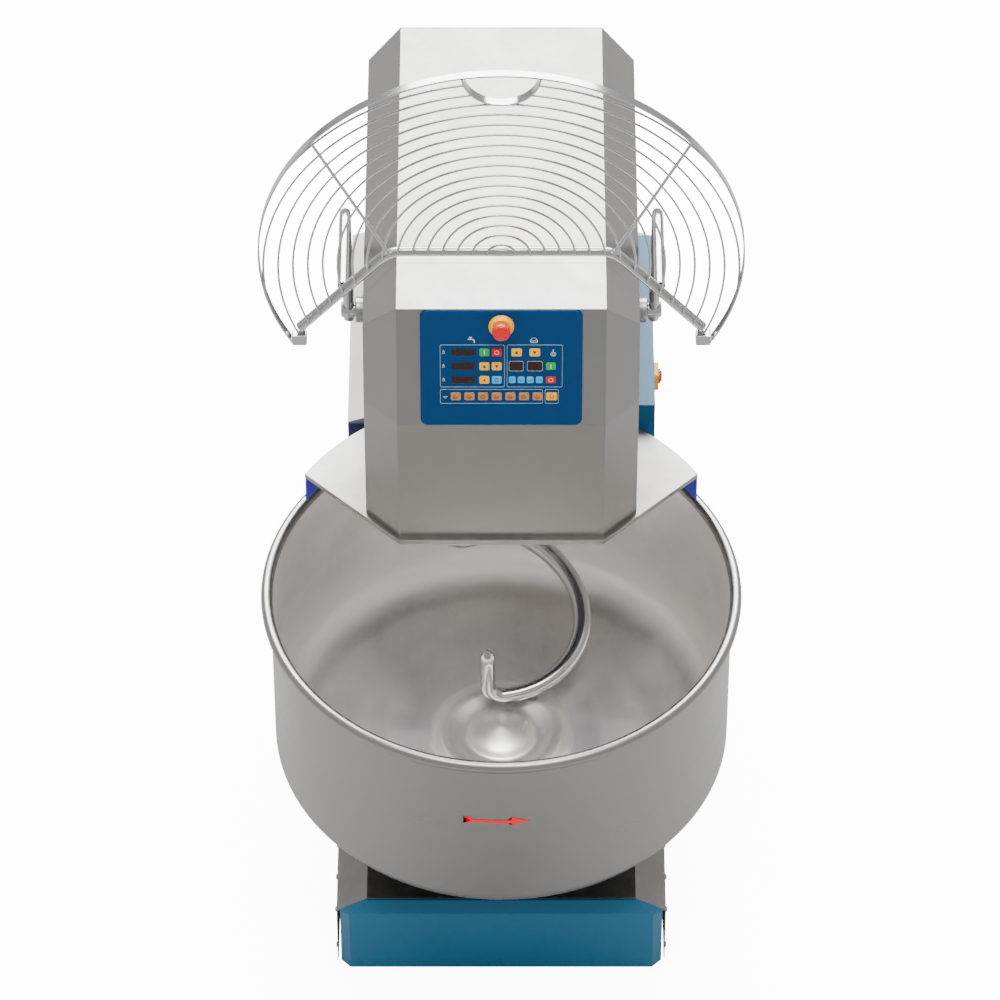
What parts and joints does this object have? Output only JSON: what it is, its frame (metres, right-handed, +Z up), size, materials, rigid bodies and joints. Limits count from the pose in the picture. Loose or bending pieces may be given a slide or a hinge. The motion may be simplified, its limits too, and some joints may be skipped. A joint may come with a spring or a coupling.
{
  "type": "spiral dough mixer",
  "caption": "Fixed-bowl spiral dough mixer with stainless casings, blue trim, a tilting wire bowl guard, a touch control panel and a red emergency stop.",
  "frame": {"origin": "the middle of the footprint, on the floor", "axes": "+X to the operator's right, +Y towards the back, +Z up; the operator stands on the -Y side"},
  "size_m": [1.048, 1.5714, 2.201],
  "materials": {
    "stainless": "satin",
    "bowl_stainless": "brushed",
    "polished": "polished",
    "steel": "turned",
    "cast": "as_cast",
    "blue_paint": "satin",
    "blue_foil": "satin",
    "blue_plastic": "satin",
    "yellow_plastic": "gloss",
    "red_plastic": "gloss",
    "grey_plastic": "matte",
    "rubber": "matte"
  },
  "bodies": {
    "machine": {"base_casing": "stainless", "base_front_cap": "blue_paint", "base_frame": "cast", "foot_front_left": "rubber", "foot_front_right": "rubber", "foot_rear_left": "rubber", "foot_rear_right": "rubber", "casing_screw_left_1": "polished", "casing_screw_left_2": "polished", "casing_screw_left_3": "polished", "casing_screw_left_4": "polished", "casing_screw_right_1": "polished", "casing_screw_right_2": "polished", "casing_screw_right_3": "polished", "casing_screw_right_4": "polished", "column_casing": "stainless", "rear_cover": "stainless", "electrical_cabinet": "blue_paint", "contactor": "grey_plastic", "main_switch_plate": "yellow_plastic", "head_casing": "stainless", "head_top_cover": "stainless", "head_flange": "stainless", "control_panel": "blue_foil", "emergency_stop_collar": "yellow_plastic", "bowl_cover_plate": "stainless", "bowl_skirt": "blue_plastic", "bowl_belt": "rubber", "bowl_bearing_housing": "cast", "bowl_motor": "cast", "spiral_belt": "rubber", "spiral_bearing_housing": "cast", "spiral_motor": "cast", "head_frame": "cast", "guard_hub_left": "steel", "guard_hub_right": "steel", "cable_gland": "grey_plastic"},
    "bowl": {"bowl": "bowl_stainless", "bowl_shaft": "steel", "bowl_pulley": "cast"},
    "bowl_motor_drive": {"bowl_motor_shaft": "steel", "bowl_motor_pulley": "cast"},
    "spiral": {"spiral_hook": "polished", "spiral_shaft": "steel", "spiral_pulley": "cast"},
    "spiral_motor_drive": {"spiral_motor_shaft": "steel", "spiral_motor_pulley": "cast"},
    "guard": {"guard_grid": "polished", "guard_arm_left": "polished", "guard_arm_right": "polished"},
    "stop_button": {"emergency_stop_button": "red_plastic"},
    "switch_knob": {"main_switch_knob": "red_plastic"}
  },
  "joints": [
    {"name": "bowl_spin", "type": "hinge", "parent": "machine", "child": "bowl", "pos_m": [0, -0.26165, 0.3], "axis": [0, 0, 1], "continuous": true},
    {"name": "bowl_motor_spin", "type": "hinge", "parent": "machine", "child": "bowl_motor_drive", "pos_m": [0, 0.42835, 0.1], "axis": [0, 0, 1], "continuous": true},
    {"name": "spiral_spin", "type": "hinge", "parent": "machine", "child": "spiral", "pos_m": [0, 0.00335, 0.9], "axis": [0, 0, 1], "continuous": true},
    {"name": "spiral_motor_spin", "type": "hinge", "parent": "machine", "child": "spiral_motor_drive", "pos_m": [0, 0.49835, 1.3], "axis": [0, 0, 1], "continuous": true},
    {"name": "guard_hinge", "type": "hinge", "parent": "machine", "child": "guard", "pos_m": [0, 0.22935, 1.2], "axis": [1, 0, 0], "range_deg": [0, 90]},
    {"name": "emergency_stop_press", "type": "slide", "parent": "machine", "child": "stop_button", "axis": [0, 0.981, -0.1942], "range_m": [0, 0.005], "stiffness_N_per_m": 600},
    {"name": "main_switch_turn", "type": "hinge", "parent": "machine", "child": "switch_knob", "pos_m": [0.345, 0.30135, 0.922], "axis": [1, 0, 0], "range_deg": [0, 90]}
  ],
  "couplings": [
    {"joint": "bowl_motor_spin", "follows": "bowl_spin", "ratio": 4.2222},
    {"joint": "spiral_motor_spin", "follows": "spiral_spin", "ratio": 3.3333}
  ]
}
